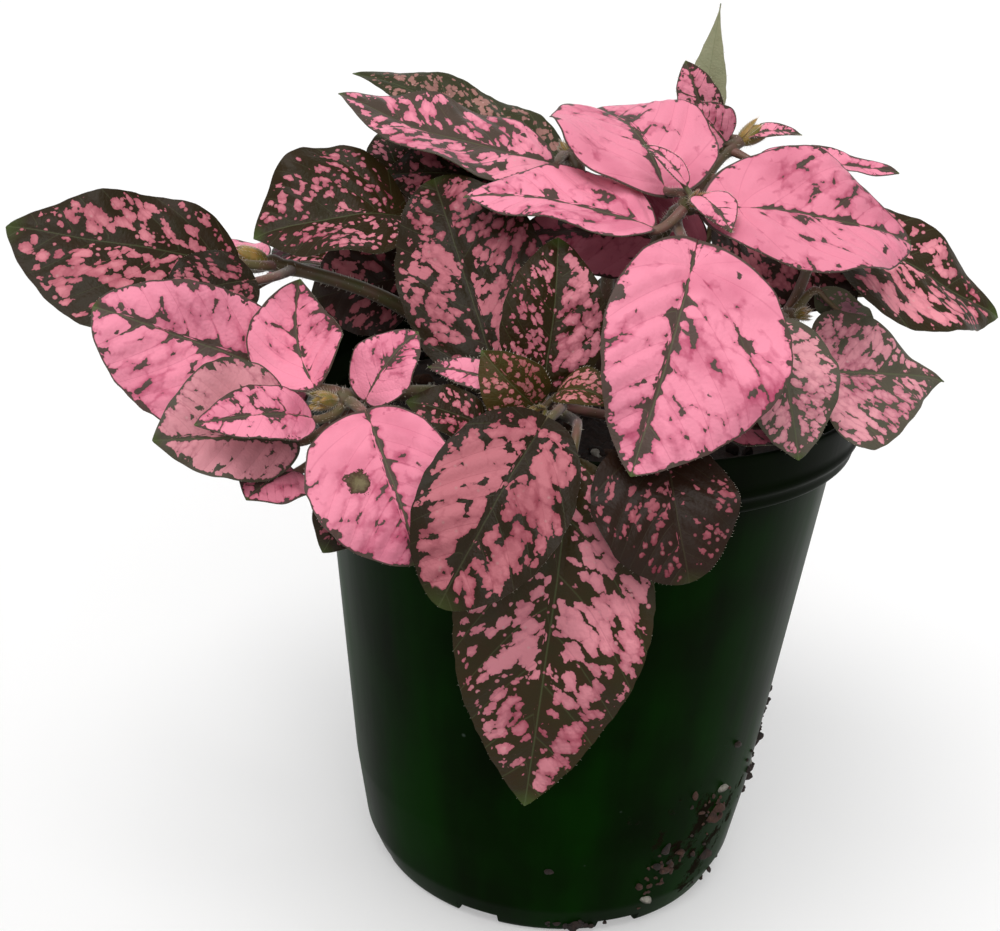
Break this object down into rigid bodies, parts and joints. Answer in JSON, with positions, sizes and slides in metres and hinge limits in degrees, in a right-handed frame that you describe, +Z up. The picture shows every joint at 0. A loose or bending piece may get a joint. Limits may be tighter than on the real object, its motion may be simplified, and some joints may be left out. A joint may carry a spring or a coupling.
{
  "type": "potted polka dot plant",
  "caption": "Bushy potted foliage plant with pink and dark green splashed leaves on short stems, in a plain round dark green nursery pot.",
  "frame": {"origin": "centre of the pot's foot, on the surface that it stands on", "axes": "+Z up along the pot's axis; -Y towards the viewer of the picture, the side over which the longest leaf hangs; +X to that viewer's right"},
  "size_m": [0.1833, 0.1564, 0.174],
  "materials": {
    "pot": "satin",
    "soil": "matte",
    "stem": "fuzzy",
    "pink_leaf": "satin",
    "dark_leaf": "satin"
  },
  "bodies": {
    "root": {"leaf_back_inner": "pink_leaf", "leaf_back_left": "pink_leaf", "leaf_back_long": "pink_leaf", "leaf_back_right": "dark_leaf", "leaf_back_top": "dark_leaf", "leaf_behind_small": "dark_leaf", "leaf_centre_back": "dark_leaf", "leaf_centre_flat": "pink_leaf", "leaf_centre_half": "dark_leaf", "leaf_front_big": "dark_leaf", "leaf_front_left": "pink_leaf", "leaf_front_right": "dark_leaf", "leaf_front_round": "dark_leaf", "leaf_heart": "pink_leaf", "leaf_inner_back": "dark_leaf", "leaf_inner_left": "dark_leaf", "leaf_inner_middle": "pink_leaf", "leaf_inner_right": "dark_leaf", "leaf_left_behind": "dark_leaf", "leaf_left_big": "pink_leaf", "leaf_left_cupped": "dark_leaf", "leaf_left_far": "dark_leaf", "leaf_left_low": "pink_leaf", "leaf_left_rear": "pink_leaf", "leaf_left_right": "pink_leaf", "leaf_left_shade": "dark_leaf", "leaf_left_small": "pink_leaf", "leaf_left_tuck": "dark_leaf", "leaf_left_under": "pink_leaf", "leaf_left_up": "pink_leaf", "leaf_rear_fall": "pink_leaf", "leaf_rear_left": "pink_leaf", "leaf_rear_low": "dark_leaf", "leaf_rear_middle": "dark_leaf", "leaf_rear_side": "dark_leaf", "leaf_right_back": "pink_leaf", "leaf_right_behind": "pink_leaf", "leaf_right_big": "pink_leaf", "leaf_right_far": "dark_leaf", "leaf_right_front": "pink_leaf", "leaf_right_low": "pink_leaf", "leaf_right_rear": "dark_leaf", "leaf_right_side": "pink_leaf", "leaf_shade_right": "pink_leaf", "leaf_top": "pink_leaf", "leaf_turned_right": "dark_leaf", "leaf_upper_left": "pink_leaf", "pot": "pot", "soil": "soil", "stem_a": "stem", "stem_b": "stem", "stem_c": "stem", "stem_d": "stem", "stem_e": "stem", "stem_f": "stem", "stem_g": "stem", "stem_h": "stem", "stem_i": "stem", "stem_j": "stem", "stem_k": "stem"}
  },
  "joints": []
}
